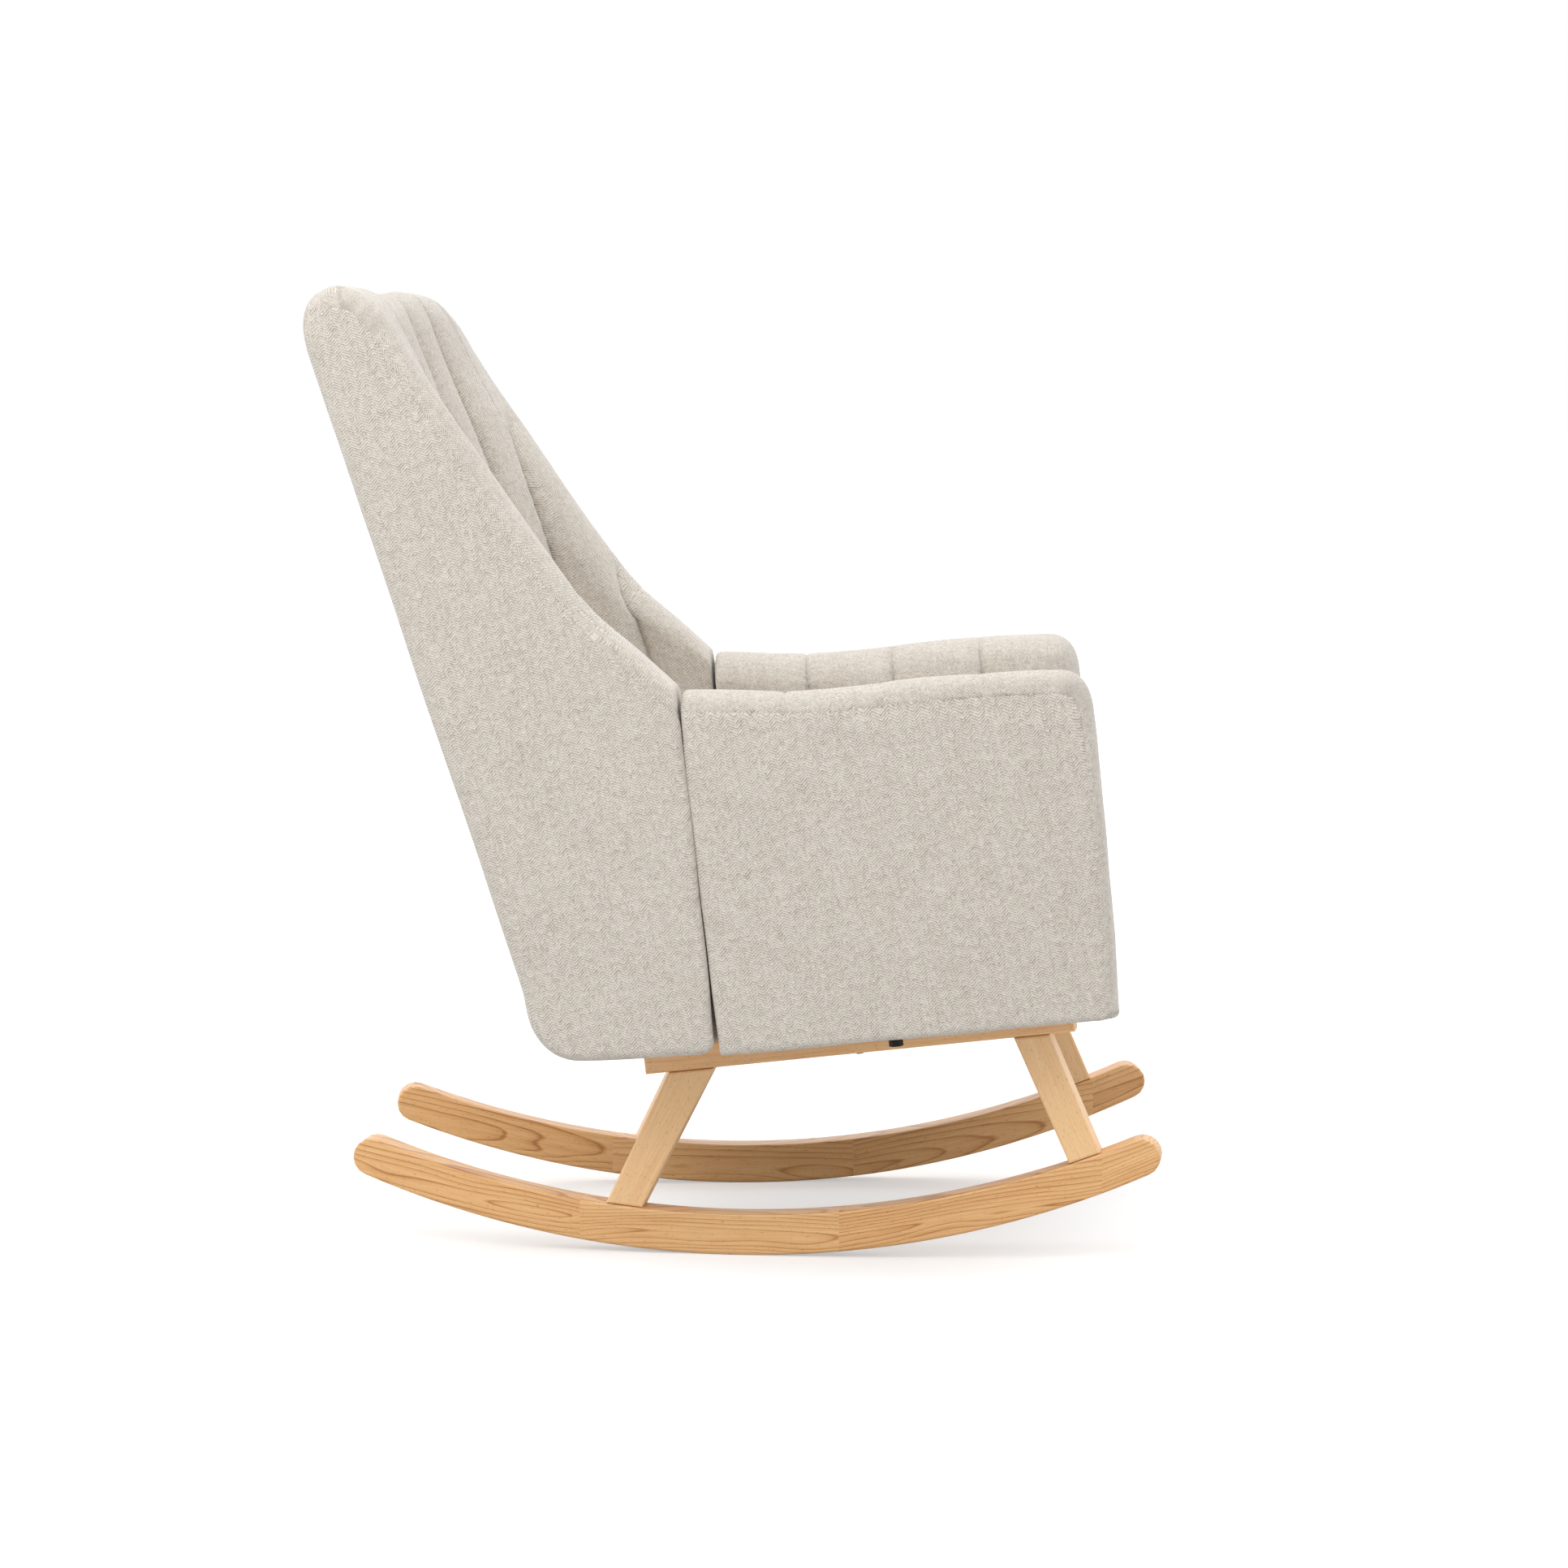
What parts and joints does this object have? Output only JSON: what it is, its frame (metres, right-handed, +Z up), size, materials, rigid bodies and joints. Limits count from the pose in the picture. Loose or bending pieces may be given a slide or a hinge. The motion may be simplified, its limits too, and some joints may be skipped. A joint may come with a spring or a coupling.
{
  "type": "rocking chair",
  "caption": "Upholstered wing-back rocking chair: channelled back and arms on toed-out wooden rocker frames.",
  "frame": {"origin": "on the floor, at the middle of the chair's bounding box", "axes": "+Z up, the chair faces -Y, X runs across it and the chair is symmetric about X = 0"},
  "size_m": [0.704, 0.8694, 0.995],
  "materials": {
    "oak": "satin clear-lacquered light hardwood",
    "plywood": "raw inner timber and plywood",
    "upholstery": "oatmeal herringbone weave over foam",
    "lining": "black non-woven dust cover",
    "webbing": "elastic webbing",
    "zinc_steel": "zinc plated",
    "black_steel": "black oxide"
  },
  "bodies": {
    "root": {"arm_board_left": "plywood", "arm_board_right": "plywood", "arm_bolt_left": "black_steel", "arm_bolt_right": "black_steel", "arm_outer_panel_left": "upholstery", "arm_outer_panel_right": "upholstery", "arm_pad_left": "upholstery", "arm_pad_right": "upholstery", "back_bottom_rail": "plywood", "back_bracket_left": "zinc_steel", "back_bracket_right": "zinc_steel", "back_mid_rail": "plywood", "back_pad": "upholstery", "back_rear_panel": "upholstery", "back_top_rail": "plywood", "corner_block_front_left": "plywood", "corner_block_front_right": "plywood", "corner_block_rear_left": "plywood", "corner_block_rear_right": "plywood", "cross_rail_front": "oak", "cross_rail_rear": "oak", "dust_cover": "lining", "front_leg_foot_dowel_left": "plywood", "front_leg_foot_dowel_right": "plywood", "front_leg_head_dowel_left": "plywood", "front_leg_head_dowel_right": "plywood", "front_leg_left": "oak", "front_leg_right": "oak", "rail_bolt_front_left": "zinc_steel", "rail_bolt_front_right": "zinc_steel", "rail_bolt_mid_left": "zinc_steel", "rail_bolt_mid_right": "zinc_steel", "rear_leg_foot_dowel_left": "plywood", "rear_leg_foot_dowel_right": "plywood", "rear_leg_head_dowel_left": "plywood", "rear_leg_head_dowel_right": "plywood", "rear_leg_left": "oak", "rear_leg_right": "oak", "rocker_left": "oak", "rocker_right": "oak", "seat_apron_pad": "upholstery", "seat_cushion": "upholstery", "seat_deck_pad": "upholstery", "seat_front_board": "plywood", "seat_rear_board": "plywood", "seat_side_board_left": "plywood", "seat_side_board_right": "plywood", "seat_strap_1": "webbing", "seat_strap_2": "webbing", "seat_strap_3": "webbing", "seat_strap_4": "webbing", "side_rail_left": "oak", "side_rail_right": "oak", "wing_board_left": "plywood", "wing_board_right": "plywood", "wing_outer_panel_left": "upholstery", "wing_outer_panel_right": "upholstery", "wing_pad_left": "upholstery", "wing_pad_right": "upholstery"}
  },
  "joints": []
}
